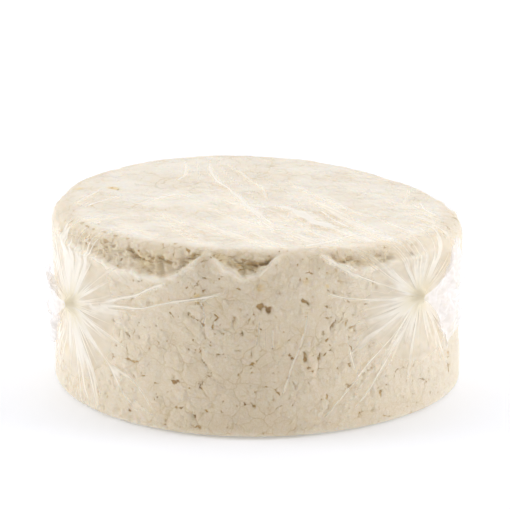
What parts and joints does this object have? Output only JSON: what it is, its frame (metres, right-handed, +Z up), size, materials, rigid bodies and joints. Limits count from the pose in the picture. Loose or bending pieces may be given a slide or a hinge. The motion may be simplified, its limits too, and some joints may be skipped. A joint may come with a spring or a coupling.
{
  "type": "cheese wheel",
  "caption": "Round wheel of fresh white pressed cheese, tightly wrapped in clear cling film gathered into a twisted knot on either side.",
  "frame": {"origin": "middle of the wrapped wheel's flat underside", "axes": "+Z up through the wheel's axis, -Y towards the front, where a film knot shows on either side, +X to the right"},
  "size_m": [0.2098, 0.2032, 0.0958],
  "materials": {
    "fresh_cheese": "moist pressed curd, ivory white, with fine cracks and small pits",
    "cling_film": "clear thin polyethylene film, glossy, whitish where it is creased"
  },
  "bodies": {
    "root": {"cheese_wheel": "fresh_cheese", "cling_film": "cling_film"}
  },
  "joints": []
}
